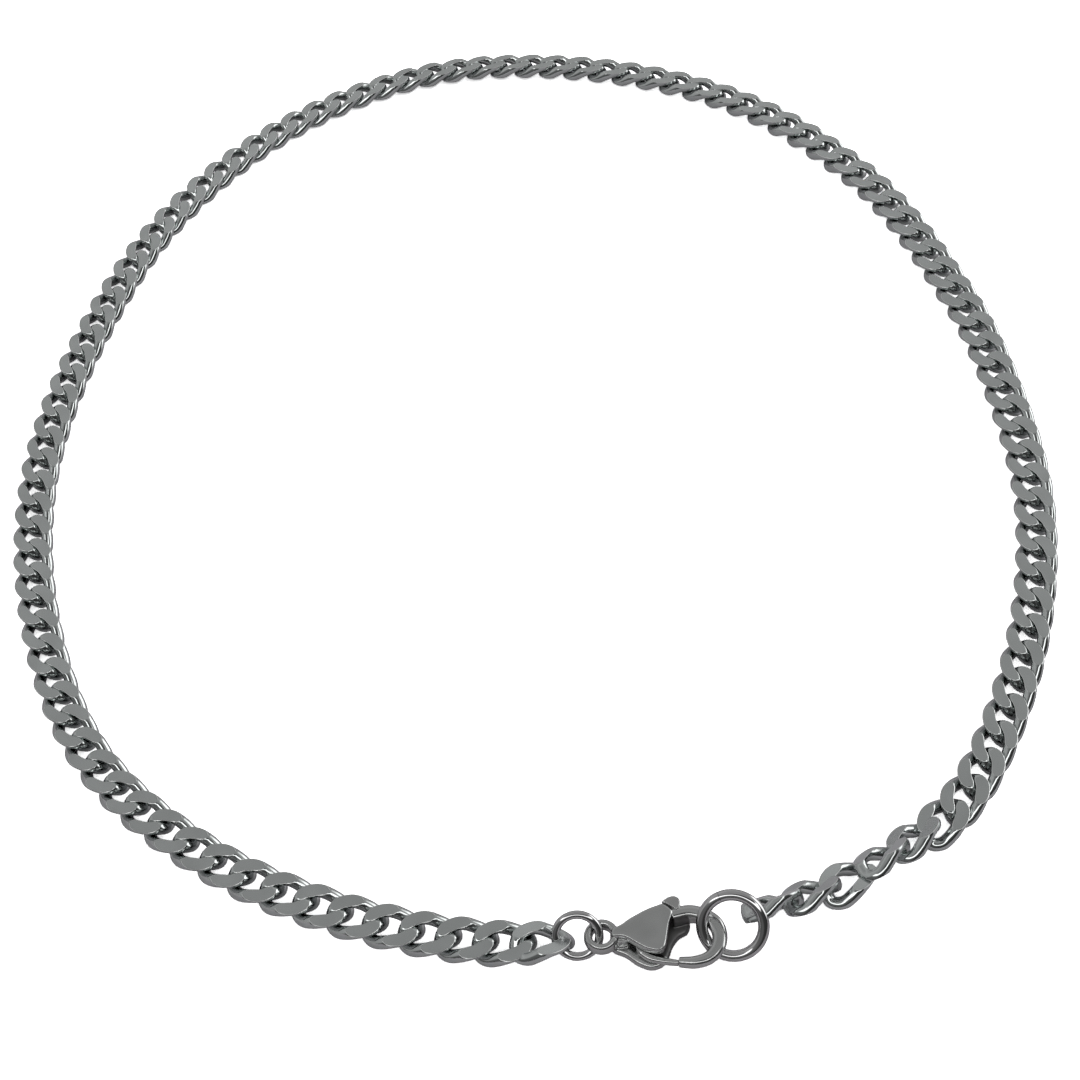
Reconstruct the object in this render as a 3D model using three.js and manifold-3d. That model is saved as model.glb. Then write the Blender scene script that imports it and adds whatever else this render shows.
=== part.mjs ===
// Curb chain necklace, fastened, lying in a loop on a table.
// Millimetres, +Z up, origin at the bottom centre of the whole necklace.
import * as THREE from 'three';
import Module from 'manifold-3d';

// The line through the middle of the links, clockwise from above, starting at the right.
const LOOP = [
  [62.3, -3.1], [60.8, -25.8], [53.9, -46.9], [43.3, -63.9], [36.4, -69.3], [21.2, -75.4],
  [6.0, -76.3], [-9.3, -74.5], [-24.4, -69.0], [-39.1, -59.7], [-52.3, -44.9], [-60.0, -23.5],
  [-62.0, 1.0], [-56.4, 27.0], [-45.2, 51.3], [-27.1, 68.8], [-4.7, 76.7], [18.3, 72.4],
  [38.9, 59.7], [54.0, 38.6], [60.9, 12.4],
];
const LOOP_STEPS = 60;            // points per span when the line's length is measured
const CENTRE = [0.088, -0.845];    // middle of the plan, moved to the origin

// One link: a sheared oval of round wire, twisted so that four corners stand up or down,
// with both sides ground flat.
const LINK_HALF_LENGTH = 2.62;    // to the middle of the wire
const LINK_HALF_WIDTH = 1.93;    // the ten-sided oval then spans the real width
const LINK_RISE = 0.74;           // how far the wire's middle swings up and down
const LINK_SHEAR = 0.25;
const LINK_BLUNT = 0.9;           // below 1 makes the ends of the oval squarer
const FINEST = 0.05;              // smallest detail kept where links cross
const SECTION_SIDES = 5;
const SECTION_RADIUS = 0.66;      // corner radius of the five-sided wire
const FLAT_HEIGHT = 1.0;          // the ground flats lie this far above and below the middle
const LINK_ANGLES = [0, 32, 64, 116, 148, 180, 212, 244, 296, 328];

const FIRST_LINK_AT = 115.46;     // along the loop, beside the small ring
const LAST_FLAT_LINK_AT = 512.43;
const FLAT_LINKS = 102;
const LEFT_LINKS = 54;            // the rest belong to the right node

// The chain leans inward at the sides of the loop and outward at its far side.
const LEAN_AT = [0, 60, 116, 170, 221, 290, 331, 380, 442];
const LEAN_DEG = [10, 4, 0, 0, 10, 2, -5, 0, 10];

const END_LEAN = 14;              // of the link on the small ring

// Five twisted links beside the large ring: lean in degrees, and how far each lies inward.
const TWIST_PITCH = 3.92;
const TWIST_LEAN = [25, 35, 0, 25, 42];
const TWIST_INWARD = [0, 0, 0, 0.15, 0.4];

// Where the two chain nodes meet, thinner and longer links stand clear of each other.
const MEETING_HALF_LENGTH = 2.68;
const MEETING_RADIUS = 0.6;

// Rings: plan position, height of the middle, then the angles that tilt the near side down,
// turn the ring in plan and bank it sideways.
const SMALL_RING = {
  at: [-0.4, -75.6], height: 2.17, tilt: 49, turn: 9, bank: -10, radius: 2.25, wire: 0.45,
};
const LARGE_RING = {
  at: [15.35, -77.3], height: 2.83, tilt: 44, turn: -4.6, bank: -8, radius: 3.15, wire: 0.6,
};
const RING_STEPS = 28;
const RING_SIDES = 8;

// Clasp, in its own plan: u runs from the tail loop to the hook, v toward the far side.
const CLASP_AT = [2.05, -76.0];
const CLASP_TURN = -8;
const TAIL_RADIUS = 1.4;
const TAIL_WIRE = 0.45;
const TAIL_STEPS = 20;
const TAIL_HEIGHT = 2.0;
const PLATE_TOP = 2.98;
const PLATE_BOTTOM = 0.0;
const PLATE_BEVEL = 0.18;
const SLOT_LOW = 1.1;
const SLOT_HIGH = 2.0;
const TOP_PLATE = [
  [1.1, 0.35], [2.0, 0.85], [3.1, 1.75], [4.6, 2.55], [6.2, 3.05], [7.2, 3.1], [7.4, 2.4],
  [7.0, 1.2], [6.75, -0.3], [6.5, -1.4], [5.95, -2.0], [4.6, -1.8], [3.6, -1.25], [2.6, -0.6],
  [1.1, -0.35],
];
const LOW_PLATE = [
  [1.1, 0.35], [2.0, 0.95], [3.1, 1.85], [4.6, 2.65], [6.2, 3.15], [8.2, 3.2], [8.5, 2.4],
  [7.4, 1.2], [6.9, -0.3], [6.7, -1.6], [6.1, -2.75], [4.9, -3.0], [3.6, -2.3], [2.5, -1.2],
  [1.1, -0.35],
];
const SPINE = [[1.1, 0.35], [2.4, 1.0], [2.9, 0.6], [2.9, -0.2], [2.4, -0.6], [1.1, -0.35]];
const HOOK_LINE = [
  [8.1, 2.45], [9.3, 2.75], [10.6, 2.5], [11.7, 1.5], [12.1, 0.1], [11.9, -1.35],
  [10.95, -2.45], [9.5, -2.88], [8.0, -2.72],
];
const HOOK_HALF_WIDTH = [0.8, 0.82, 0.78, 0.72, 0.7, 0.7, 0.68, 0.58, 0.38];
const HOOK_HALF_HEIGHT = [1.2, 1.0, 0.8, 0.68, 0.62, 0.6, 0.58, 0.55, 0.5];
const HOOK_SIDES = 8;
const HOOK_MIDDLE = 2.12;
const PIVOT = [4.3, -0.9];
const PIVOT_RADIUS = 0.4;
const PIVOT_CLEARANCE = 0.06;
const PIVOT_SIDES = 20;
const LEVER_LOW = 1.2;
const LEVER_HIGH = 1.9;
const LEVER = [
  [3.45, -0.5], [3.35, -1.3], [4.1, -2.0], [5.0, -2.35], [6.2, -2.65], [7.6, -2.95],
  [7.82, -2.42], [6.3, -2.15], [5.4, -1.6], [5.2, -0.6], [6.2, 1.0], [7.3, 2.6], [7.6, 3.5],
  [6.8, 3.5], [5.8, 2.2], [4.6, 0.4], [4.0, 0.0],
];
const LUG = [[6.75, 3.5], [6.87, 3.88], [7.3, 4.1], [7.73, 3.88], [7.85, 3.5]];
const LUG_LOW = 0.7;
const LUG_HIGH = 2.9;

const STEEL = 0x9a9c9d;

const wasm = await Module();
wasm.setup();

// Helpers.

const radians = (degrees) => (degrees * Math.PI) / 180;

// Closed or open centripetal spline through plan points; returns positions and tangents.
function spline(points, closed, perSpan) {
  const n = points.length;
  const pick = (i) => points[closed ? (i + n) % n : Math.min(Math.max(i, 0), n - 1)];
  const out = [];
  const spans = closed ? n : n - 1;
  for (let i = 0; i < spans; i += 1) {
    const [p0, p1, p2, p3] = [pick(i - 1), pick(i), pick(i + 1), pick(i + 2)];
    const gap = (a, b) => Math.max(Math.sqrt(Math.hypot(b[0] - a[0], b[1] - a[1])), 1e-4);
    const [d0, d1, d2] = [gap(p0, p1), gap(p1, p2), gap(p2, p3)];
    for (let k = 0; k < perSpan; k += 1) {
      const u = k / perSpan;
      const point = [0, 1].map((c) => {
        const first = p0 === p1 ? p2[c] - p1[c]
          : d1 * ((p1[c] - p0[c]) / d0 - (p2[c] - p0[c]) / (d0 + d1) + (p2[c] - p1[c]) / d1);
        const second = p3 === p2 ? p2[c] - p1[c]
          : d1 * ((p2[c] - p1[c]) / d1 - (p3[c] - p1[c]) / (d1 + d2) + (p3[c] - p2[c]) / d2);
        const [u2, u3] = [u * u, u * u * u];
        return (2 * u3 - 3 * u2 + 1) * p1[c] + (u3 - 2 * u2 + u) * first
          + (3 * u2 - 2 * u3) * p2[c] + (u3 - u2) * second;
      });
      out.push(point);
    }
  }
  if (!closed) out.push(points[n - 1]);
  return out;
}

// A value read off a hand-made list, straight between its entries.
function along(at, values, x) {
  let i = 0;
  while (i < at.length - 2 && x > at[i + 1]) i += 1;
  const f = Math.min(Math.max((x - at[i]) / (at[i + 1] - at[i]), 0), 1);
  return values[i] + f * (values[i + 1] - values[i]);
}

function solidFromTriangles(positions, triangles) {
  const geometry = new wasm.Mesh({
    numProp: 3,
    vertProperties: new Float32Array(positions),
    triVerts: new Uint32Array(triangles),
  });
  return new wasm.Manifold(geometry);
}

// Rings of points joined into a tube; closed on itself or capped with its end rings.
function tube(rings, closed) {
  const sides = rings[0].length;
  const positions = rings.flat(2);
  const triangles = [];
  const last = closed ? rings.length : rings.length - 1;
  for (let i = 0; i < last; i += 1) {
    const j = (i + 1) % rings.length;
    for (let k = 0; k < sides; k += 1) {
      const m = (k + 1) % sides;
      const [a, b, c, d] = [i * sides + k, j * sides + k, j * sides + m, i * sides + m];
      triangles.push(a, b, c, a, c, d);
    }
  }
  if (!closed) {
    const end = (rings.length - 1) * sides;
    for (let k = 1; k < sides - 1; k += 1) {
      triangles.push(0, k, k + 1);
      triangles.push(end, end + k + 1, end + k);
    }
  }
  let solid = solidFromTriangles(positions, triangles);
  if (solid.volume() < 0) {
    const flipped = [];
    for (let i = 0; i < triangles.length; i += 3) {
      flipped.push(triangles[i], triangles[i + 2], triangles[i + 1]);
    }
    solid = solidFromTriangles(positions, flipped);
  }
  return solid;
}

// A flat plan shape raised between two heights, with its edges bevelled when asked.
function slab(points, low, high, bevel, perSpan) {
  const outline = perSpan > 1 ? spline(points, true, perSpan) : points;
  const shape = new THREE.Shape(outline.map(([x, y]) => new THREE.Vector2(x, y)));
  const geometry = new THREE.ExtrudeGeometry(shape, {
    depth: high - low - 2 * bevel,
    bevelEnabled: bevel > 0,
    bevelSize: bevel,
    bevelOffset: -bevel,
    bevelThickness: bevel,
    bevelSegments: 1,
    curveSegments: 1,
  });
  geometry.translate(0, 0, low + bevel);
  return solidFromGeometry(geometry);
}

function solidFromGeometry(source) {
  const geometry = source.clone();
  const position = geometry.attributes.position;
  const seen = new Map();
  const positions = [];
  const triangles = [];
  const index = geometry.index ? [...geometry.index.array] : [...Array(position.count).keys()];
  const merged = index.map((i) => {
    const point = [position.getX(i), position.getY(i), position.getZ(i)];
    const key = point.map((value) => Math.round(value * 1e5)).join(' ');
    if (!seen.has(key)) {
      seen.set(key, seen.size);
      positions.push(...point);
    }
    return seen.get(key);
  });
  for (let i = 0; i < merged.length; i += 3) {
    const [a, b, c] = merged.slice(i, i + 3);
    if (a !== b && b !== c && c !== a) triangles.push(a, b, c);
  }
  return solidFromTriangles(positions, triangles);
}

function circle(centre, radius, sides) {
  return Array.from({ length: sides }, (_, k) => {
    const angle = (2 * Math.PI * k) / sides;
    return [centre[0] + radius * Math.cos(angle), centre[1] + radius * Math.sin(angle)];
  });
}

function meshOf(name, solid) {
  const { vertProperties, triVerts, numProp } = solid.getMesh();
  const positions = [];
  for (let i = 0; i < vertProperties.length; i += numProp) {
    positions.push(vertProperties[i], vertProperties[i + 1], vertProperties[i + 2]);
  }
  const geometry = new THREE.BufferGeometry();
  geometry.setAttribute('position', new THREE.Float32BufferAttribute(positions, 3));
  geometry.setIndex([...triVerts]);
  geometry.translate(-CENTRE[0], -CENTRE[1], 0);
  geometry.computeVertexNormals();
  const material = new THREE.MeshStandardMaterial({ color: STEEL, metalness: 1, roughness: 0.25 });
  const mesh = new THREE.Mesh(geometry, material);
  mesh.name = name;
  return mesh;
}

// Chain.

const loopLine = spline(LOOP, true, LOOP_STEPS);
const loopArc = [0];
for (let i = 0; i < loopLine.length; i += 1) {
  const [a, b] = [loopLine[i], loopLine[(i + 1) % loopLine.length]];
  loopArc.push(loopArc[i] + Math.hypot(b[0] - a[0], b[1] - a[1]));
}
const loopLength = loopArc[loopArc.length - 1];

function loopPoint(distance) {
  const wrapped = ((distance % loopLength) + loopLength) % loopLength;
  let low = 0;
  let high = loopLine.length;
  while (high - low > 1) {
    const middle = (low + high) >> 1;
    if (loopArc[middle] <= wrapped) low = middle;
    else high = middle;
  }
  const f = (wrapped - loopArc[low]) / (loopArc[low + 1] - loopArc[low]);
  const [a, b] = [loopLine[low], loopLine[(low + 1) % loopLine.length]];
  return [a[0] + f * (b[0] - a[0]), a[1] + f * (b[1] - a[1])];
}

const signedPower = (value, power) => Math.sign(value) * Math.abs(value) ** power;

function linkLine(halfLength, angle) {
  const across = LINK_HALF_WIDTH * Math.sin(angle);
  return new THREE.Vector3(
    halfLength * signedPower(Math.cos(angle), LINK_BLUNT) + LINK_SHEAR * across,
    across,
    -LINK_RISE * Math.sin(2 * angle),
  );
}

// The wire has a side up where it stands high and a side down where it stands low, and the
// corners past the ground flats are pressed onto them.
function linkRings(halfLength, sectionRadius) {
  const up = new THREE.Vector3(0, 0, 1);
  return LINK_ANGLES.map((degrees) => {
    const angle = radians(degrees);
    const middle = linkLine(halfLength, angle);
    const tangent = linkLine(halfLength, angle + 0.01).sub(linkLine(halfLength, angle - 0.01));
    tangent.normalize();
    const side = new THREE.Vector3().crossVectors(tangent, up).normalize();
    const top = new THREE.Vector3().crossVectors(side, tangent);
    const turn = 36 - 18 * Math.sin(2 * angle);
    return Array.from({ length: SECTION_SIDES }, (_, k) => {
      const at = radians(turn + (360 / SECTION_SIDES) * k);
      const point = middle.clone()
        .addScaledVector(side, sectionRadius * Math.cos(at))
        .addScaledVector(top, sectionRadius * Math.sin(at));
      point.z = Math.min(Math.max(point.z, -FLAT_HEIGHT), FLAT_HEIGHT);
      return point;
    });
  });
}

// Sets a link on the loop, leaned about its own length, so that it just touches the table.
function placedLink(distance, lean, inward, halfLength, sectionRadius) {
  const here = loopPoint(distance);
  const [before, after] = [loopPoint(distance - 0.5), loopPoint(distance + 0.5)];
  const along3 = new THREE.Vector3(after[0] - before[0], after[1] - before[1], 0).normalize();
  const outward = new THREE.Vector3().crossVectors(new THREE.Vector3(0, 0, 1), along3);
  const frame = new THREE.Matrix4().makeBasis(along3, outward, new THREE.Vector3(0, 0, 1));
  frame.multiply(new THREE.Matrix4().makeRotationX(radians(lean)));
  const rings = linkRings(halfLength, sectionRadius);
  rings.flat().forEach((point) => point.applyMatrix4(frame));
  const lowest = Math.min(...rings.flat().map((point) => point.z));
  return tube(rings.map((ring) => ring.map((point) => [
    point.x + here[0] - inward * outward.x, point.y + here[1] - inward * outward.y,
    point.z - lowest])), true);
}

const pitch = (LAST_FLAT_LINK_AT - FIRST_LINK_AT) / (FLAT_LINKS - 1);
const links = [];
for (let i = 0; i < FLAT_LINKS; i += 1) {
  const distance = FIRST_LINK_AT + pitch * i;
  const lean = i === 0 ? END_LEAN : along(LEAN_AT, LEAN_DEG, distance % loopLength);
  const meets = i === LEFT_LINKS - 1 || i === LEFT_LINKS;
  links.push(placedLink(distance, lean, 0, meets ? MEETING_HALF_LENGTH : LINK_HALF_LENGTH,
    meets ? MEETING_RADIUS : SECTION_RADIUS));
}
TWIST_LEAN.forEach((lean, i) => {
  const distance = LAST_FLAT_LINK_AT + TWIST_PITCH * (i + 1);
  links.push(placedLink(distance, lean, TWIST_INWARD[i], LINK_HALF_LENGTH, SECTION_RADIUS));
});

// Joined links, without slivers finer than FINEST, as the one outer body.
function fused(pieces) {
  const whole = wasm.Manifold.union(pieces).simplify(FINEST);
  return whole.decompose().reduce((best, part) => (part.volume() > best.volume() ? part : best));
}

const chainLeft = fused(links.slice(0, LEFT_LINKS));
const chainRight = fused(links.slice(LEFT_LINKS));

// Rings.

function jumpRing({ at, height, tilt, turn, bank, radius, wire }, steps) {
  const frame = new THREE.Matrix4().makeRotationZ(radians(turn));
  frame.multiply(new THREE.Matrix4().makeRotationX(radians(tilt)));
  frame.multiply(new THREE.Matrix4().makeRotationY(radians(bank)));
  const rings = [];
  for (let i = 0; i < steps; i += 1) {
    const angle = (2 * Math.PI * i) / steps;
    const ring = [];
    for (let k = 0; k < RING_SIDES; k += 1) {
      const around = (2 * Math.PI * (k + 0.5)) / RING_SIDES;
      const reach = radius + wire * Math.cos(around);
      const point = new THREE.Vector3(reach * Math.cos(angle), reach * Math.sin(angle),
        wire * Math.sin(around)).applyMatrix4(frame);
      ring.push([point.x + at[0], point.y + at[1], point.z + height]);
    }
    rings.push(ring);
  }
  return tube(rings, true);
}

const smallRing = jumpRing(SMALL_RING, RING_STEPS);
const largeRing = jumpRing(LARGE_RING, RING_STEPS);

// Clasp.

function hookSolid() {
  const perSpan = 3;
  const line = spline(HOOK_LINE, false, perSpan);
  const rings = line.map((point, i) => {
    const before = line[Math.max(i - 1, 0)];
    const after = line[Math.min(i + 1, line.length - 1)];
    const length = Math.hypot(after[0] - before[0], after[1] - before[1]);
    const across = [-(after[1] - before[1]) / length, (after[0] - before[0]) / length];
    const stations = HOOK_LINE.map((_, k) => k * perSpan);
    const width = along(stations, HOOK_HALF_WIDTH, i);
    const tall = along(stations, HOOK_HALF_HEIGHT, i);
    return Array.from({ length: HOOK_SIDES }, (_, k) => {
      const around = (2 * Math.PI * (k + 0.5)) / HOOK_SIDES;
      const side = width * signedPower(Math.cos(around), 0.8) * 1.02;
      return [point[0] + side * across[0], point[1] + side * across[1],
        HOOK_MIDDLE + tall * signedPower(Math.sin(around), 0.8) * 1.02];
    });
  });
  return tube(rings, false);
}

const tailRing = {
  at: [0, 0], height: TAIL_HEIGHT, tilt: 0, turn: 0, bank: 0, radius: TAIL_RADIUS, wire: TAIL_WIRE,
};
const rivet = slab(circle(PIVOT, PIVOT_RADIUS, PIVOT_SIDES), SLOT_LOW - 0.2, SLOT_HIGH + 0.2, 0, 1);
const body = wasm.Manifold.union([
  jumpRing(tailRing, TAIL_STEPS),
  slab(TOP_PLATE, SLOT_HIGH, PLATE_TOP, PLATE_BEVEL, 2),
  slab(LOW_PLATE, PLATE_BOTTOM, SLOT_LOW, PLATE_BEVEL, 2),
  slab(SPINE, SLOT_LOW - 0.3, SLOT_HIGH + 0.3, 0, 1),
  hookSolid(),
  rivet,
]);
const hole = slab(circle(PIVOT, PIVOT_RADIUS + PIVOT_CLEARANCE, PIVOT_SIDES), 0, PLATE_TOP, 0, 1);
const lever = wasm.Manifold.union([
  slab(LEVER, LEVER_LOW, LEVER_HIGH, 0, 2),
  slab(LUG, LUG_LOW, LUG_HIGH, 0.12, 2),
]).subtract(hole);

const setDown = (solid) => solid
  .rotate([0, 0, CLASP_TURN])
  .translate([CLASP_AT[0], CLASP_AT[1], 0]);

// Assembly.

const necklace = new THREE.Group();
necklace.name = 'curb_chain_necklace';
necklace.add(
  meshOf('chain_left', chainLeft),
  meshOf('chain_right', chainRight),
  meshOf('small_jump_ring', smallRing),
  meshOf('large_jump_ring', largeRing),
  meshOf('clasp_body', setDown(body)),
  meshOf('clasp_lever', setDown(lever)),
);

export default necklace;
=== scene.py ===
"""A fastened curb chain necklace of polished steel, lying in a loop on a white table."""
import math

import bmesh
import bpy
import numpy as np
from mathutils import Matrix, Vector


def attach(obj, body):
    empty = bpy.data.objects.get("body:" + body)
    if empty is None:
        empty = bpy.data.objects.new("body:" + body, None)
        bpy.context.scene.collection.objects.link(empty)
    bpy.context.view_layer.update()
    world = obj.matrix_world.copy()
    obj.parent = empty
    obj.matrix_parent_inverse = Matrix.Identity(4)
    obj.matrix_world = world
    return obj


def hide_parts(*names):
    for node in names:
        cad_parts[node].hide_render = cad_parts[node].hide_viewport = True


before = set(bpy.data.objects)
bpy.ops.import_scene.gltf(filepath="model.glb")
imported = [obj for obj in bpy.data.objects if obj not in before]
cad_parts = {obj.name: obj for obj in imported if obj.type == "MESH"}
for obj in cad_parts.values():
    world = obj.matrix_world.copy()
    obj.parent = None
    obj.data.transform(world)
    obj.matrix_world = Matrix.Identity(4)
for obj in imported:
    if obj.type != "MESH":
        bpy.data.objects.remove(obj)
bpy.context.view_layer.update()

MM = 0.001
BODY = "necklace"
LEVER_BODY = "lever"

# The line through the middle of the links, clockwise from above, starting at the right.
LOOP = [
    (61.95, -3.1), (60.7, -25.8), (53.9, -46.9), (43.3, -63.9), (36.4, -69.3), (21.2, -75.4),
    (6.0, -76.3), (-9.3, -74.5), (-24.4, -69.0), (-39.1, -59.7), (-52.3, -44.9), (-60.0, -23.5),
    (-61.83, 1.0), (-56.4, 27.0), (-45.2, 51.3), (-27.1, 68.8), (-4.7, 76.5), (18.3, 72.4),
    (38.9, 59.7), (53.7, 38.5), (60.55, 12.4),
]
CENTRE = np.array([0.088, -0.845, 0.0])   # middle of the necklace's plan

LINK_HALF_LENGTH = 2.64
LINK_HALF_WIDTH = 1.74
LINK_RISE = 0.78
LINK_STEPPED = 0.07        # how much the rise and fall of the wire is gathered at the ends and sides
LINK_SHEAR = 0.25
LINK_BLUNT = 0.9
WIRE = 0.72
GROUND_HEIGHT = 0.88       # the ground flats lie this far above and below a link's middle
EDGE = 0.04                # width of the softened edge round a flat

FIRST_LINK_AT = 115.46
LAST_FLAT_LINK_AT = 512.43
FLAT_LINKS = 102
LEFT_LINKS = 54
END_LEAN = 14.0
# The chain leans inward at some stretches of the loop and outward at others, in degrees.
LEAN_AT = [0, 60, 116, 170, 221, 290, 331, 380, 442]
LEAN_DEG = [14, 0, -4, -4, 8, -2, -9, -4, 14]
# How far the links have slid along the line from even spacing, in mm, at distances along it.
SLID_AT = [
    112, 128, 143, 159, 175, 200, 229, 260, 281, 300, 324, 347, 371, 395, 418, 442, 465, 489, 512,
]
SLID_BY = [
    .25, .4, .9, 1.34, 1.6, 1.65, 1.7, 1.8, 1.82, 1.37, .9, .6, .68, .7, .82, .67, .29, -.27, -.8,
]
# The five twisted links: lean in degrees, then how far each has slid and lies inward, in mm.
TWIST_PITCH = 3.92
TWIST_LEAN = [34, 46, 12, 40, 55]
TWIST_SLID = [-0.6, -0.2, 0.2, 0.5, 0.95]
TWIST_INWARD = [0, 0, 0, 0.15, 0.4]

# Plan position, height of the middle, and the angles that tilt, turn and bank each ring.
SMALL_RING = dict(at=(-0.4, -75.6), height=2.17, tilt=49, turn=9, bank=-10, radius=2.25, wire=0.45)
LARGE_RING = dict(at=(15.35, -77.17), height=2.80, tilt=43.5, turn=-4.6, bank=-8, radius=3.15, wire=0.6)


def spline(points, closed, per_span):
    """Centripetal spline through plan points, closed or open."""
    points = np.asarray(points, float)
    count = len(points)
    out = []
    for i in range(count if closed else count - 1):
        near = [(i + k) % count if closed else min(max(i + k, 0), count - 1) for k in (-1, 0, 1, 2)]
        p0, p1, p2, p3 = points[near]
        d0, d1, d2 = (max(np.linalg.norm(b[:2] - a[:2]) ** 0.5, 1e-4)
                      for a, b in ((p0, p1), (p1, p2), (p2, p3)))
        start = d1 * ((p1 - p0) / d0 - (p2 - p0) / (d0 + d1) + (p2 - p1) / d1)
        end = d1 * ((p2 - p1) / d1 - (p3 - p1) / (d1 + d2) + (p3 - p2) / d2)
        if not closed and i == 0:
            start = p2 - p1
        if not closed and i == count - 2:
            end = p2 - p1
        for k in range(per_span):
            u = k / per_span
            out.append((2 * u**3 - 3 * u**2 + 1) * p1 + (u**3 - 2 * u**2 + u) * start
                       + (3 * u**2 - 2 * u**3) * p2 + (u**3 - u**2) * end)
    if not closed:
        out.append(points[-1])
    return np.array(out)


LOOP_STEPS = 60            # points per span of the loop
loop_line = spline(LOOP, True, LOOP_STEPS)
loop_closed = np.vstack([loop_line, loop_line[:1]])
loop_arc = np.r_[0, np.cumsum(np.linalg.norm(np.diff(loop_closed, axis=0), axis=1))]
LOOP_LENGTH = loop_arc[-1]


def loop_point(distance):
    at = distance % LOOP_LENGTH
    return np.array([np.interp(at, loop_arc, loop_closed[:, k]) for k in (0, 1)])


def signed_power(value, power):
    return np.sign(value) * np.abs(value) ** power


STATIONS = 80
SIDE_POINTS = 6            # on each round side between the flats
NARROWEST = math.radians(82)


def link_line(angle):
    across = LINK_HALF_WIDTH * np.sin(angle)
    return np.stack([LINK_HALF_LENGTH * signed_power(np.cos(angle), LINK_BLUNT) + LINK_SHEAR * across,
                     across, -LINK_RISE * (np.sin(2 * angle) + LINK_STEPPED * np.sin(6 * angle))], -1)


def flat_edges(cut, spread):
    """Angles round the wire across one flat: outer edge, inner edge, middle, and the same again."""
    inner = math.acos(max(math.cos(cut) - spread, 0.0))
    return [cut - spread, inner, math.pi / 2, math.pi - inner, math.pi - cut + spread]


def link_shape():
    """Vertices, quads and each quad's finish (0 wire, 1 ground flat, 2 its rim, painted lighter as a
    highlight), of one link along x.
    """
    angle = np.linspace(0, 2 * np.pi, STATIONS, endpoint=False)
    middle = link_line(angle)
    tangent = link_line(angle + 0.01) - link_line(angle - 0.01)
    tangent /= np.linalg.norm(tangent, axis=1)[:, None]
    side = np.cross(tangent, [0, 0, 1.0])
    side /= np.linalg.norm(side, axis=1)[:, None]
    top = np.cross(side, tangent)
    rows, on_top, on_bottom = [], [], []
    for p, n, u in zip(middle, side, top):
        high = (GROUND_HEIGHT - p[2]) / u[2]
        low = (GROUND_HEIGHT + p[2]) / u[2]
        upper = min(math.asin(min(high / WIRE, 1.0)), NARROWEST)
        lower = min(math.asin(min(low / WIRE, 1.0)), NARROWEST)
        on_top.append(upper < NARROWEST)
        on_bottom.append(lower < NARROWEST)
        spread = EDGE / WIRE
        up = flat_edges(upper, spread)
        down = [math.pi + a for a in flat_edges(lower, spread)]
        left = np.linspace(up[-1], down[0], SIDE_POINTS + 2)[1:-1]
        right = np.linspace(down[-1], up[0] + 2 * math.pi, SIDE_POINTS + 2)[1:-1]
        around = np.r_[up, left, down, right]
        rise = np.clip(WIRE * np.sin(around), -low, high)
        rows.append(p + WIRE * np.cos(around)[:, None] * n + rise[:, None] * u)
    grid = np.array(rows)
    sides = grid.shape[1]
    quads, finish = [], []
    down_start = 5 + SIDE_POINTS
    for i in range(STATIONS):
        j = (i + 1) % STATIONS
        for k in range(sides):
            m = (k + 1) % sides
            quads.append((i * sides + k, j * sides + k, j * sides + m, i * sides + m))
            part = k if on_top[i] and on_top[j] else -1
            if k >= down_start:
                part = k - down_start if on_bottom[i] and on_bottom[j] else -1
            finish.append(1 if part in (1, 2) else 2 if part in (0, 3) else 0)
    return grid.reshape(-1, 3), np.array(quads), np.array(finish)


def set_down(points):
    """Raises or lowers a shape so that it just touches the table."""
    return points - [0, 0, points[:, 2].min()]


def place_link(shape, distance, lean, inward=0.0):
    here = loop_point(distance)
    run = loop_point(distance + 0.5) - loop_point(distance - 0.5)
    heading = math.atan2(run[1], run[0])
    x = np.array([math.cos(heading), math.sin(heading), 0.0])
    y = np.cross([0, 0, 1.0], x)
    c, s = math.cos(math.radians(lean)), math.sin(math.radians(lean))
    leaned = shape @ np.stack([x, c * y + [0, 0, s], -s * y + [0, 0, c]])
    return set_down(leaned) + [here[0] - inward * y[0], here[1] - inward * y[1], 0.0]


def new_piece(name, points, faces, materials, material_index=None, flat=None, body=BODY,
              replaces=(), sharp_angle=35):
    """A joined mesh from arrays in mm, riding on its body."""
    mesh = bpy.data.meshes.new(name)
    mesh.from_pydata((np.asarray(points) - CENTRE) * MM, [], [tuple(map(int, f)) for f in faces])
    for material in materials:
        mesh.materials.append(material)
    if material_index is not None:
        mesh.polygons.foreach_set("material_index", np.asarray(material_index, dtype=np.int32))
    smooth = np.ones(len(mesh.polygons), dtype=bool) if flat is None else ~np.asarray(flat)
    mesh.polygons.foreach_set("use_smooth", smooth)
    mesh.update()
    mesh.set_sharp_from_angle(angle=math.radians(sharp_angle))
    if flat is not None:
        mesh.polygons.foreach_set("use_smooth", smooth)
    piece = bpy.data.objects.new(name, mesh)
    bpy.context.collection.objects.link(piece)
    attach(piece, body)
    if replaces:
        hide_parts(*replaces)
    return piece


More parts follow.
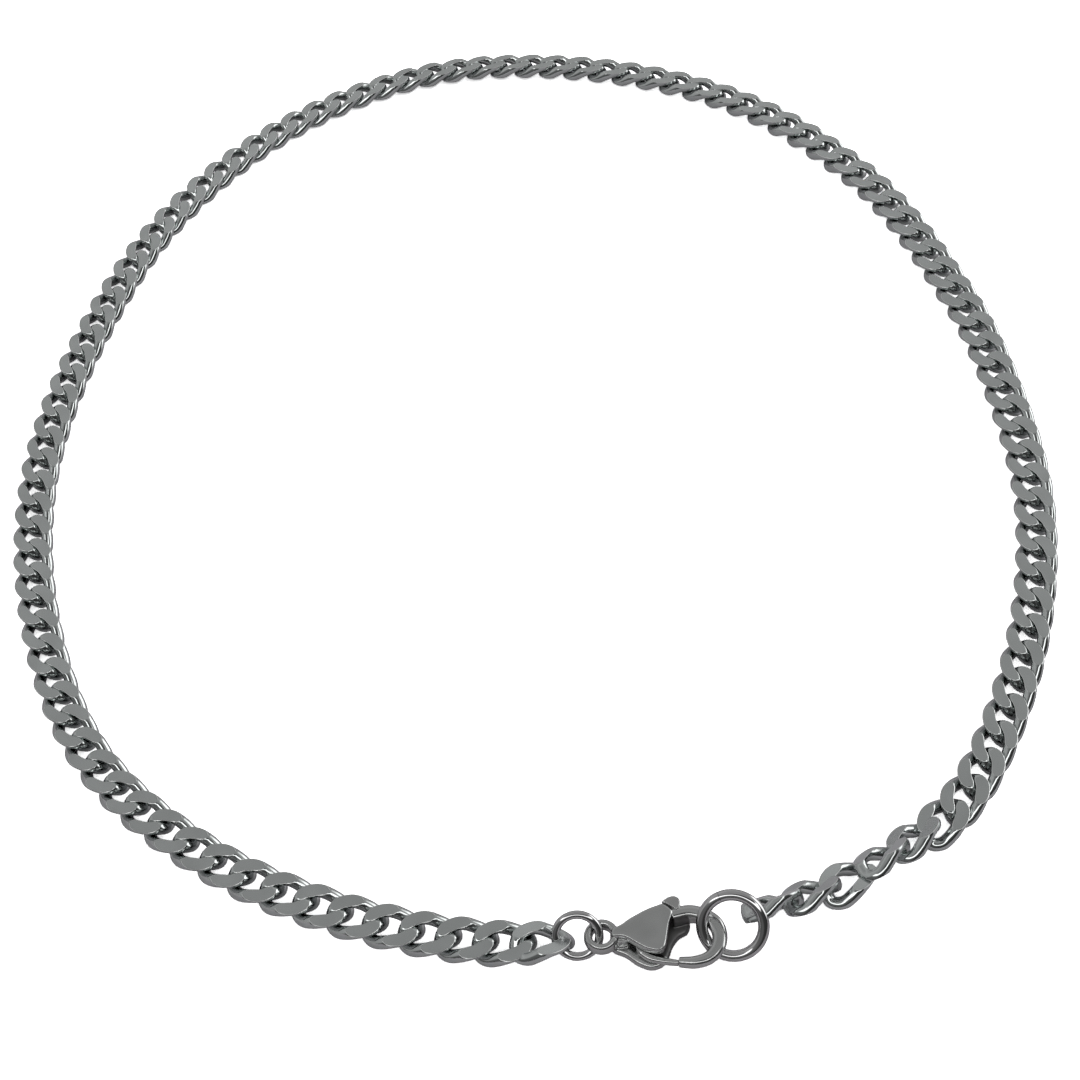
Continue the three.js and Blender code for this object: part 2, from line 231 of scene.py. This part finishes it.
def surface_marks(name="steel_surface"):
    """Fine scratches and slow waves of worked steel: gives a colour, a roughness and a height."""
    group = bpy.data.node_groups.new(name, "ShaderNodeTree")
    face = group.interface
    for label, kind, value in (("Steel", "NodeSocketColor", (0.6, 0.61, 0.61, 1)),
                               ("Roughness", "NodeSocketFloat", 0.12),
                               ("Scratch Scale", "NodeSocketFloat", 2200.0),
                               ("Scratch Depth", "NodeSocketFloat", 0.3),
                               ("Wave Scale", "NodeSocketFloat", 350.0),
                               ("Wave Depth", "NodeSocketFloat", 0.5)):
        socket = face.new_socket(name=label, in_out="INPUT", socket_type=kind)
        socket.default_value = value
    for label, kind in (("Colour", "NodeSocketColor"), ("Roughness", "NodeSocketFloat"),
                        ("Height", "NodeSocketFloat")):
        face.new_socket(name=label, in_out="OUTPUT", socket_type=kind)
    nodes, links = group.nodes, group.links
    given = nodes.new("NodeGroupInput")
    out = nodes.new("NodeGroupOutput")
    place = nodes.new("ShaderNodeTexCoord")
    stretch = nodes.new("ShaderNodeMapping")
    stretch.inputs["Scale"].default_value = (1.0, 0.16, 1.0)
    stretch.inputs["Rotation"].default_value = (0.0, 0.0, 0.5)
    links.new(place.outputs["Object"], stretch.inputs["Vector"])
    scratch = nodes.new("ShaderNodeTexNoise")
    scratch.inputs["Detail"].default_value = 3.0
    links.new(stretch.outputs["Vector"], scratch.inputs["Vector"])
    links.new(given.outputs["Scratch Scale"], scratch.inputs["Scale"])
    wave = nodes.new("ShaderNodeTexNoise")
    wave.inputs["Detail"].default_value = 1.0
    links.new(place.outputs["Object"], wave.inputs["Vector"])
    links.new(given.outputs["Wave Scale"], wave.inputs["Scale"])

    def sum_of(first, second):
        node = nodes.new("ShaderNodeMath")
        node.operation = "ADD"
        links.new(first, node.inputs[0])
        links.new(second, node.inputs[1])
        return node.outputs[0]

    def product(first, second):
        node = nodes.new("ShaderNodeMath")
        node.operation = "MULTIPLY"
        links.new(first, node.inputs[0])
        links.new(second, node.inputs[1])
        return node.outputs[0]

    height = sum_of(product(scratch.outputs["Fac"], given.outputs["Scratch Depth"]),
                    product(wave.outputs["Fac"], given.outputs["Wave Depth"]))
    links.new(height, out.inputs["Height"])
    dull = nodes.new("ShaderNodeMapRange")
    dull.inputs["To Min"].default_value = 0.7
    dull.inputs["To Max"].default_value = 1.3
    links.new(scratch.outputs["Fac"], dull.inputs["Value"])
    links.new(product(dull.outputs["Result"], given.outputs["Roughness"]), out.inputs["Roughness"])
    tint = nodes.new("ShaderNodeMix")
    tint.data_type = "RGBA"
    tint.blend_type = "MULTIPLY"
    tint.inputs["Factor"].default_value = 0.25
    links.new(given.outputs["Steel"], tint.inputs["A"])
    links.new(wave.outputs["Fac"], tint.inputs["B"])
    links.new(tint.outputs["Result"], out.inputs["Colour"])
    return group


steel_marks = surface_marks()


def steel(name, colour, roughness, scratch_scale, scratch_depth, wave_scale, wave_depth, bump):
    material = bpy.data.materials.new(name)
    material.use_nodes = True
    nodes, links = material.node_tree.nodes, material.node_tree.links
    surface = nodes["Principled BSDF"]
    surface.inputs["Metallic"].default_value = 1.0
    marks = nodes.new("ShaderNodeGroup")
    marks.node_tree = steel_marks
    marks.inputs["Steel"].default_value = (*colour, 1.0)
    marks.inputs["Roughness"].default_value = roughness
    marks.inputs["Scratch Scale"].default_value = scratch_scale
    marks.inputs["Scratch Depth"].default_value = scratch_depth
    marks.inputs["Wave Scale"].default_value = wave_scale
    marks.inputs["Wave Depth"].default_value = wave_depth
    relief = nodes.new("ShaderNodeBump")
    relief.inputs["Strength"].default_value = 1.0
    relief.inputs["Distance"].default_value = bump
    links.new(marks.outputs["Height"], relief.inputs["Height"])
    links.new(marks.outputs["Colour"], surface.inputs["Base Color"])
    links.new(marks.outputs["Roughness"], surface.inputs["Roughness"])
    links.new(relief.outputs["Normal"], surface.inputs["Normal"])
    return material


# Name, colour, roughness, scratches (scale, depth), waves (scale, depth), relief in metres.
STEEL = (0.645, 0.675, 0.668)
wire_polish = steel("polished_wire", STEEL, 0.10, 2400, 0.25, 500, 0.6, 0.00002)
ground_polish = steel("ground_flat", STEEL, 0.20, 3000, 0.5, 260, 0.5, 0.00001)
# The rim's lighter colour is a painted highlight along the edges of the ground flats; its higher
# roughness is its own.
rim_polish_painted_highlight = steel("ground_rim_painted_highlight", (0.85, 0.86, 0.855), 0.34, 3000, 0.5, 260, 0.5, 0.00001)
ring_polish = steel("polished_ring", (0.64, 0.64, 0.645), 0.06, 2400, 0.25, 500, 0.5, 0.00001)
cast_polish = steel("cast_clasp", (0.60, 0.61, 0.605), 0.17, 2400, 0.4, 420, 0.6, 0.00001)
# The recess steel's dark colour is painted shade between the top plate, hook and gate; its higher
# roughness is its own.
recess_painted_shade = steel("cast_recess_painted_shade", (0.22, 0.22, 0.22), 0.42, 2400, 0.4, 420, 0.6, 0.00001)
lever_polish = steel("clasp_lever_steel", (0.62, 0.625, 0.62), 0.13, 2400, 0.4, 420, 0.6, 0.00001)


link_points, link_quads, link_finish = link_shape()


def chain_run(name, places, node):
    points, quads, finish, index = [], [], [], 0
    for place in places:
        points.append(place_link(link_points, *place))
        quads.append(link_quads + index)
        finish.append(link_finish)
        index += len(link_points)
    finish = np.concatenate(finish)
    return new_piece(name, np.concatenate(points), np.concatenate(quads),
                     [wire_polish, ground_polish, rim_polish_painted_highlight], finish, finish == 1, BODY,
                     [node])


pitch = (LAST_FLAT_LINK_AT - FIRST_LINK_AT) / (FLAT_LINKS - 1)
places = []
for i in range(FLAT_LINKS):
    distance = FIRST_LINK_AT + pitch * i
    lean = END_LEAN if i == 0 else np.interp(distance % LOOP_LENGTH, LEAN_AT, LEAN_DEG)
    places.append((distance + np.interp(distance, SLID_AT, SLID_BY), lean))
for i, lean in enumerate(TWIST_LEAN):
    distance = LAST_FLAT_LINK_AT + TWIST_PITCH * (i + 1) + TWIST_SLID[i]
    places.append((distance, lean, TWIST_INWARD[i]))
chain_run("chain_left_links", places[:LEFT_LINKS], "chain_left")
chain_run("chain_right_links", places[LEFT_LINKS:], "chain_right")


def swept(rings, closed):
    """Points and faces of a tube through rings of points, with its ends filled if it is open."""
    rings = np.asarray(rings)
    count, sides = rings.shape[:2]
    faces = []
    for i in range(count if closed else count - 1):
        j = (i + 1) % count
        for k in range(sides):
            m = (k + 1) % sides
            faces.append((i * sides + k, i * sides + m, j * sides + m, j * sides + k))
    if not closed:
        faces.append(tuple(range(sides))[::-1])
        faces.append(tuple(range((count - 1) * sides, count * sides)))
    return rings.reshape(-1, 3), faces


RING_STATIONS = 120
RING_SIDES = 28
RING_SEAM = 0.006          # half the gap in radians where a bent ring's ends meet


def ring_shape(at, height, tilt, turn, bank, radius, wire, seam_at):
    """A ring bent from round wire, with its seam at an angle round it."""
    start = math.radians(seam_at)
    angles = np.linspace(start + RING_SEAM, start + 2 * np.pi - RING_SEAM, RING_STATIONS)
    around = np.linspace(0, 2 * np.pi, RING_SIDES, endpoint=False)
    reach = radius + wire * np.cos(around)
    rings = np.stack([np.cos(angles)[:, None] * reach, np.sin(angles)[:, None] * reach,
                      np.broadcast_to(wire * np.sin(around), (len(angles), RING_SIDES))], -1)
    stance = (Matrix.Rotation(math.radians(turn), 3, "Z") @ Matrix.Rotation(math.radians(tilt), 3, "X")
              @ Matrix.Rotation(math.radians(bank), 3, "Y"))
    rings = rings @ np.array(stance).T + [at[0], at[1], height]
    return swept(rings, False)


for name, ring, seam_at, node in (("small_ring_wire", SMALL_RING, 200, "small_jump_ring"),
                                  ("large_ring_wire", LARGE_RING, 110, "large_jump_ring")):
    ring_points, ring_faces = ring_shape(**ring, seam_at=seam_at)
    new_piece(name, ring_points, ring_faces, [ring_polish], replaces=[node])


# The clasp's plan: u runs towards the hook, v away from the camera; its turn and place are below.
CLASP_TURN = -8.0
CLASP_AT = (2.05, -76.0)
TAIL_RADIUS = 1.4
TAIL_HALF_WIDTH = 0.46
TAIL_HALF_HEIGHT = 0.76
TAIL_HEIGHT = 1.92
BAND_SQUARE = 0.9          # below 1 makes a rounded section squarer
BAR_SQUARE = 0.85
PLATE_TOP = 2.98
PLATE_BOTTOM = 0.0
SLOT_LOW = 1.1
SLOT_HIGH = 2.0
# Rounding of each plate's lower and upper edge.
TOP_PLATE_ROUND = (0.1, 0.26)
LOW_PLATE_ROUND = (0.4, 0.3)
LUG_ROUND = (0.15, 0.2)
SPINE_RAISED = 0.3
POST_OVERLAP = 0.2
TOP_PLATE = [
    (1.1, .40), (2.0, .95), (2.82, 1.6), (4.54, 2.63), (5.6, 3.07), (6.2, 3.27), (6.8, 2.95),
    (7.25, 2.35), (7.12, 1.7), (6.95, 1.1), (6.74, -.3), (6.55, -1.3), (6.27, -1.85), (5.8, -2.05),
    (4.53, -1.77), (3.61, -1.25), (2.67, -.64), (2.05, -.40), (1.1, -.38),
]
LOW_PLATE = [
    (1.0, .5), (2.0, .95), (3.1, 1.85), (4.6, 2.65), (6.2, 3.15), (8.2, 3.2), (9.0, 2.2), (8.7, 1.0),
    (7.9, .5), (7.2, -.5), (6.85, -1.5), (6.2, -2.6), (5.0, -3.0), (3.6, -2.5), (2.4, -1.6), (1.0, -.85),
]
SPINE = [(1.0, .45), (2.4, 1.0), (2.9, .6), (2.9, -.3), (2.4, -.75), (1.0, -.6)]
HOOK_LINE = [
    (7.2, 2.2), (8.9, 2.55), (10.3, 2.2), (11.5, 1.35), (12.0, .1), (11.8, -1.35), (10.9, -2.45),
    (9.5, -2.88), (7.84, -2.78),
]
HOOK_HALF_WIDTH = [.85, .85, .85, .82, .78, .74, .66, .60, .48]
HOOK_HALF_HEIGHT = [1.15, 1.1, .9, .74, .66, .63, .66, .72, .62]
HOOK_MIDDLE = [1.7, 1.8, 2.0, 2.12, 2.12, 2.1, 2.0, 1.85, 1.7]
PIVOT = (4.3, -.9)
PIVOT_RADIUS = 0.4
# The lever: a hub on the rivet, a gate arm to the hook's tip and a thumb arm to the lug.
HUB_RADIUS = 0.85
GATE_LINE = [(4.0, -1.35), (4.9, -2.05), (6.2, -2.5), (7.8, -2.74)]
GATE_HALF_WIDTH = [.55, .48, .36, .27]
GATE_HALF_HEIGHT = [.36, .38, .42, .44]
GATE_MIDDLE = [1.52, 1.5, 1.44, 1.42]
THUMB_LINE = [(4.5, -.4), (5.5, .9), (6.5, 2.3), (7.15, 3.2)]
THUMB_HALF_WIDTH = [.5, .5, .48, .42]
LEVER_MIDDLE = 1.52
LEVER_HALF_HEIGHT = 0.36
LUG = [
    (6.15, 3.43), (6.65, 3.17), (7.0, 2.95), (7.32, 2.70), (7.6, 2.46), (7.95, 2.8), (8.08, 3.3),
    (7.95, 3.85), (7.4, 4.15), (6.68, 3.95),
]
LUG_LOW = 1.2
LUG_HIGH = 2.95
CASTING_FINE = 0.06        # the grain of each cast mesh
LEVER_FINE = 0.05
SOFTENED = 4               # rounds of smoothing on a casting
BAR_SIDES = 24
TAIL_STATIONS = 72
POST_SIDES = 32
EDGE_STEPS = 6
CAST_SHARP_ANGLE = 60


def inset(outline, amount):
    """A closed outline moved inward by an amount."""
    ahead = np.roll(outline, -1, 0) - np.roll(outline, 1, 0)
    ahead /= np.linalg.norm(ahead, axis=1)[:, None]
    following = np.roll(outline, -1, 0)
    area = 0.5 * np.sum(outline[:, 0] * following[:, 1] - following[:, 0] * outline[:, 1])
    inward = np.stack([-ahead[:, 1], ahead[:, 0]], -1) * np.sign(area)
    return outline + inward * amount


def rounded_slab(outline, low, high, low_round, high_round, per_span=6):
    """A plate with a spline outline and rounded edges below and above."""
    line = spline(outline, True, per_span)
    rings = []
    for at, size, way in ((low, low_round, 1), (high, high_round, -1)):
        steps = [(size * (1 - math.sin(a)), size * (1 - math.cos(a)))
                 for a in np.linspace(0, math.pi / 2, EDGE_STEPS)] if size else [(0, 0)]
        group = [np.c_[inset(line, into), np.full(len(line), at + way * up)] for into, up in steps]
        rings += group if way == 1 else group[::-1]
    return swept(rings, False)


def swept_bar(line, half_width, half_height, middle, per_span=8):
    """A rounded bar along a plan line, with its width, height and middle given at the line's points."""
    path = spline(line, False, per_span)
    stations = np.arange(len(line)) * per_span
    at = np.arange(len(path))
    wide, tall, mid = (np.interp(at, stations, np.broadcast_to(values, len(line)))
                       for values in (half_width, half_height, middle))
    ahead = np.gradient(path, axis=0)
    ahead /= np.linalg.norm(ahead, axis=1)[:, None]
    across = np.stack([-ahead[:, 1], ahead[:, 0]], -1)
    around = np.linspace(0, 2 * np.pi, BAR_SIDES, endpoint=False)
    side = signed_power(np.cos(around), BAR_SQUARE)
    rise = signed_power(np.sin(around), BAR_SQUARE)
    rings = [np.c_[p + np.outer(w * side, a), m + h * rise]
             for p, w, h, m, a in zip(path, wide, tall, mid, across)]
    return swept(rings, False)


def tail_loop():
    """The clasp's own eye, a tall rounded band."""
    angles = np.linspace(0, 2 * np.pi, TAIL_STATIONS, endpoint=False)
    around = np.linspace(0, 2 * np.pi, BAR_SIDES, endpoint=False)
    reach = TAIL_RADIUS + TAIL_HALF_WIDTH * signed_power(np.cos(around), BAND_SQUARE)
    rise = TAIL_HEIGHT + TAIL_HALF_HEIGHT * signed_power(np.sin(around), BAND_SQUARE)
    rings = [np.c_[np.cos(a) * reach, np.sin(a) * reach, rise] for a in angles]
    return swept(rings, True)


def post(centre, radius, low, high):
    """A short round post with flat ends."""
    rings = []
    around = np.linspace(0, 2 * np.pi, POST_SIDES, endpoint=False)
    for reach, z in ((0.3, low), (0.8, low), (1.0, low), (1.0, high), (0.8, high), (0.3, high)):
        rings.append(np.c_[centre[0] + radius * reach * np.cos(around),
                           centre[1] + radius * reach * np.sin(around), np.full(POST_SIDES, z)])
    return swept(rings, False)


def cast_together(shapes, fine, rounds):
    """Closed shapes melted into one skin, with small fillets where they meet; points in mm."""
    points, faces, index = [], [], 0
    for shape_points, shape_faces in shapes:
        points.append(shape_points)
        faces += [tuple(index + int(k) for k in face) for face in shape_faces]
        index += len(shape_points)
    mesh = bpy.data.meshes.new("casting")
    mesh.from_pydata(np.concatenate(points), [], faces)
    casting = bpy.data.objects.new("casting", mesh)
    bpy.context.collection.objects.link(casting)
    work = bmesh.new()
    work.from_mesh(mesh)
    bmesh.ops.recalc_face_normals(work, faces=work.faces)
    work.to_mesh(mesh)
    work.free()
    melt = casting.modifiers.new("melt", "REMESH")
    melt.mode = "VOXEL"
    melt.voxel_size = fine
    soften = casting.modifiers.new("soften", "SMOOTH")
    soften.factor = 0.5
    soften.iterations = rounds
    done = casting.evaluated_get(bpy.context.evaluated_depsgraph_get()).to_mesh()
    skin = np.array([v.co for v in done.vertices])
    cells = [tuple(p.vertices) for p in done.polygons]
    bpy.data.objects.remove(casting)
    bpy.data.meshes.remove(mesh)
    return skin, cells


def onto_chain(points):
    """Turns and moves the clasp's plan to its place in the loop."""
    turn = math.radians(CLASP_TURN)
    c, s = math.cos(turn), math.sin(turn)
    return points @ np.array([[c, s, 0], [-s, c, 0], [0, 0, 1]]) + [CLASP_AT[0], CLASP_AT[1], 0]


# The rough walls between the top plate, the hook's root and the gate, in the clasp's plan, painted dark
# as the shade that falls in that recess.
RECESS_AT = (7.2, 0.3)
RECESS_REACH = (2.3, 2.2)
RECESS_TOP = 2.7


def in_recess(points, faces):
    """1 for the recess faces that take the painted shade, 0 for the rest."""
    first = np.array([face[0] for face in faces])
    third = np.array([face[2] for face in faces])
    middle = (points[first] + points[third]) / 2
    away = (middle[:, :2] - RECESS_AT) / RECESS_REACH
    return ((away ** 2).sum(1) < 1) & (middle[:, 2] < RECESS_TOP)


body_points, body_faces = cast_together([
    tail_loop(),
    rounded_slab(TOP_PLATE, SLOT_HIGH, PLATE_TOP, *TOP_PLATE_ROUND),
    rounded_slab(LOW_PLATE, PLATE_BOTTOM, SLOT_LOW, *LOW_PLATE_ROUND),
    rounded_slab(SPINE, PLATE_BOTTOM + SPINE_RAISED, SLOT_HIGH + SPINE_RAISED, 0, 0),
    swept_bar(HOOK_LINE, HOOK_HALF_WIDTH, HOOK_HALF_HEIGHT, HOOK_MIDDLE),
    post(PIVOT, PIVOT_RADIUS, SLOT_LOW - POST_OVERLAP, SLOT_HIGH + POST_OVERLAP),
], CASTING_FINE, SOFTENED)
# The recess faces take the dark steel, which is painted shade.
new_piece("clasp_casting", onto_chain(body_points), body_faces, [cast_polish, recess_painted_shade],
          in_recess(body_points, body_faces), sharp_angle=CAST_SHARP_ANGLE,
          replaces=["clasp_body"])
lever_points, lever_faces = cast_together([
    post(PIVOT, HUB_RADIUS, LEVER_MIDDLE - LEVER_HALF_HEIGHT, LEVER_MIDDLE + LEVER_HALF_HEIGHT),
    swept_bar(GATE_LINE, GATE_HALF_WIDTH, GATE_HALF_HEIGHT, GATE_MIDDLE),
    swept_bar(THUMB_LINE, THUMB_HALF_WIDTH, LEVER_HALF_HEIGHT, LEVER_MIDDLE),
    rounded_slab(LUG, LUG_LOW, LUG_HIGH, *LUG_ROUND, per_span=4),
], LEVER_FINE, SOFTENED)
new_piece("clasp_gate", onto_chain(lever_points), lever_faces, [lever_polish], body=LEVER_BODY,
          sharp_angle=CAST_SHARP_ANGLE, replaces=["clasp_lever"])


FLOOR_GREY = (0.72, 0.69, 0.72)
TABLE_HALF_SIZE = 3.0      # metres
TABLE_BELOW = 0.0001       # metres, so that the paper doesn't flicker against the steel
PAPER_GLOW = 0.45          # what the camera sees of the paper even in a deep shadow
PAPER_SEEN = 3.4           # how strongly the camera sees the light on it: white, but dim in the holes


def for_camera(nodes, links, seen, reflected):
    """Mixes what the camera sees with what the steel reflects."""
    path = nodes.new("ShaderNodeLightPath")
    mix = nodes.new("ShaderNodeMixShader")
    links.new(path.outputs["Is Camera Ray"], mix.inputs[0])
    links.new(reflected, mix.inputs[1])
    links.new(seen, mix.inputs[2])
    return mix.outputs[0]


def table_top():
    """White paper that the camera sees bright and the steel sees grey."""
    half = TABLE_HALF_SIZE
    mesh = bpy.data.meshes.new("table_top")
    mesh.from_pydata([(-half, -half, 0), (half, -half, 0), (half, half, 0), (-half, half, 0)], [],
                     [(0, 1, 2, 3)])
    table = bpy.data.objects.new("table_top", mesh)
    bpy.context.collection.objects.link(table)
    table.location.z = -TABLE_BELOW
    paper = bpy.data.materials.new("white_paper")
    paper.use_nodes = True
    nodes, links = paper.node_tree.nodes, paper.node_tree.links
    dull = nodes["Principled BSDF"]
    dull.inputs["Base Color"].default_value = (*FLOOR_GREY, 1)
    dull.inputs["Roughness"].default_value = 1.0
    lit = nodes.new("ShaderNodeBsdfDiffuse")
    lit.inputs["Color"].default_value = (PAPER_SEEN, PAPER_SEEN, PAPER_SEEN, 1)
    glow = nodes.new("ShaderNodeEmission")
    glow.inputs["Strength"].default_value = PAPER_GLOW
    seen = nodes.new("ShaderNodeAddShader")
    links.new(lit.outputs[0], seen.inputs[0])
    links.new(glow.outputs[0], seen.inputs[1])
    links.new(for_camera(nodes, links, seen.outputs[0], dull.outputs[0]),
              nodes["Material Output"].inputs["Surface"])
    mesh.materials.append(paper)


def ramp(nodes, stops):
    """A smooth band of greys from (place, brightness) stops."""
    node = nodes.new("ShaderNodeValToRGB")
    band = node.color_ramp
    band.interpolation = "EASE"
    while len(band.elements) < len(stops):
        band.elements.new(0.5)
    for element, (at, value) in zip(band.elements, stops):
        element.position = at
        element.color = (value, value, value, 1)
    return node


# Brightness of the room by height, from the table's edge (0) to overhead (1): behind and in front.
BACK_LIGHT = [(0.0, .36), (0.35, .42), (0.55, .50), (0.70, .43), (0.87, .35), (1.0, .38)]
FRONT_LEFT_LIGHT = [(0.0, .10), (.55, .15), (.68, .22), (.74, 2.6), (.80, 2.6), (.86, .2), (1.0, .16)]
FRONT_RIGHT_LIGHT = [(0.0, .07), (.3, .04), (.68, .06), (.74, 2.4), (.80, 2.4), (.86, .06), (1.0, .12)]
FRONT_EDGE = (-0.30, 0.0)    # where the room turns from front to back, along +Y
FRONT_MIDDLE = (-0.35, 0.10)  # where the front turns from left to right, along +X
# Soft boxes: direction, cosine where the edge starts, cosine where it is full, brightness.
SOFT_BOXES = [((0.93, 0.30, 0.12), 0.84, 0.93, 1.7)]


def studio():
    """Soft grey light all round, dim in front but for a bright band, with a soft box on the right."""
    world = bpy.data.worlds.new("studio")
    bpy.context.scene.world = world
    world.use_nodes = True
    nodes, links = world.node_tree.nodes, world.node_tree.links
    light = nodes["Background"]
    place = nodes.new("ShaderNodeTexCoord")
    split = nodes.new("ShaderNodeSeparateXYZ")
    links.new(place.outputs["Generated"], split.inputs[0])

    def by_height(stops):
        band = ramp(nodes, stops)
        links.new(split.outputs["Z"], band.inputs["Fac"])
        return band.outputs["Color"]

    def turning(axis, edge, first, second):
        turn = nodes.new("ShaderNodeMapRange")
        turn.interpolation_type = "SMOOTHSTEP"
        turn.inputs["From Min"].default_value = edge[0]
        turn.inputs["From Max"].default_value = edge[1]
        links.new(split.outputs[axis], turn.inputs["Value"])
        part = nodes.new("ShaderNodeMix")
        part.data_type = "RGBA"
        links.new(turn.outputs["Result"], part.inputs["Factor"])
        links.new(first, part.inputs["A"])
        links.new(second, part.inputs["B"])
        return part.outputs["Result"]

    front = turning("X", FRONT_MIDDLE, by_height(FRONT_LEFT_LIGHT), by_height(FRONT_RIGHT_LIGHT))
    total = turning("Y", FRONT_EDGE, front, by_height(BACK_LIGHT))
    for direction, edge, full, bright in SOFT_BOXES:
        facing = nodes.new("ShaderNodeVectorMath")
        facing.operation = "DOT_PRODUCT"
        facing.inputs[1].default_value = Vector(direction).normalized()
        links.new(place.outputs["Generated"], facing.inputs[0])
        fade = nodes.new("ShaderNodeMapRange")
        fade.interpolation_type = "SMOOTHSTEP"
        fade.inputs["From Min"].default_value = edge
        fade.inputs["From Max"].default_value = full
        fade.inputs["To Max"].default_value = bright
        links.new(facing.outputs["Value"], fade.inputs["Value"])
        both = nodes.new("ShaderNodeMix")
        both.data_type = "RGBA"
        both.blend_type = "ADD"
        both.clamp_result = False
        both.inputs["Factor"].default_value = 1.0
        links.new(total, both.inputs["A"])
        links.new(fade.outputs["Result"], both.inputs["B"])
        total = both.outputs["Result"]
    links.new(total, light.inputs["Color"])
    white = nodes.new("ShaderNodeBackground")
    white.inputs["Color"].default_value = (1, 1, 1, 1)
    links.new(for_camera(nodes, links, white.outputs[0], light.outputs[0]),
              nodes["World Output"].inputs["Surface"])


bpy.context.scene.view_settings.view_transform = "Standard"
table_top()
studio()

CAMERA_AT = (1.209, -165.965, 171.23)
CAMERA_DOWN = 49.467
CAMERA_ROLL = -7.784
CAMERA_LENS = 61.2856
CAMERA_SENSOR = 36

camera = bpy.data.cameras.new("photo_camera")
camera.sensor_width = CAMERA_SENSOR
camera.lens = CAMERA_LENS
camera.clip_start = 0.01
view = bpy.data.objects.new("photo_camera", camera)
bpy.context.collection.objects.link(view)
view.matrix_world = (Matrix.Translation(Vector(CAMERA_AT) * MM)
                     @ Matrix.Rotation(math.radians(90 - CAMERA_DOWN), 4, "X")
                     @ Matrix.Rotation(math.radians(CAMERA_ROLL), 4, "Z"))
bpy.context.scene.camera = view
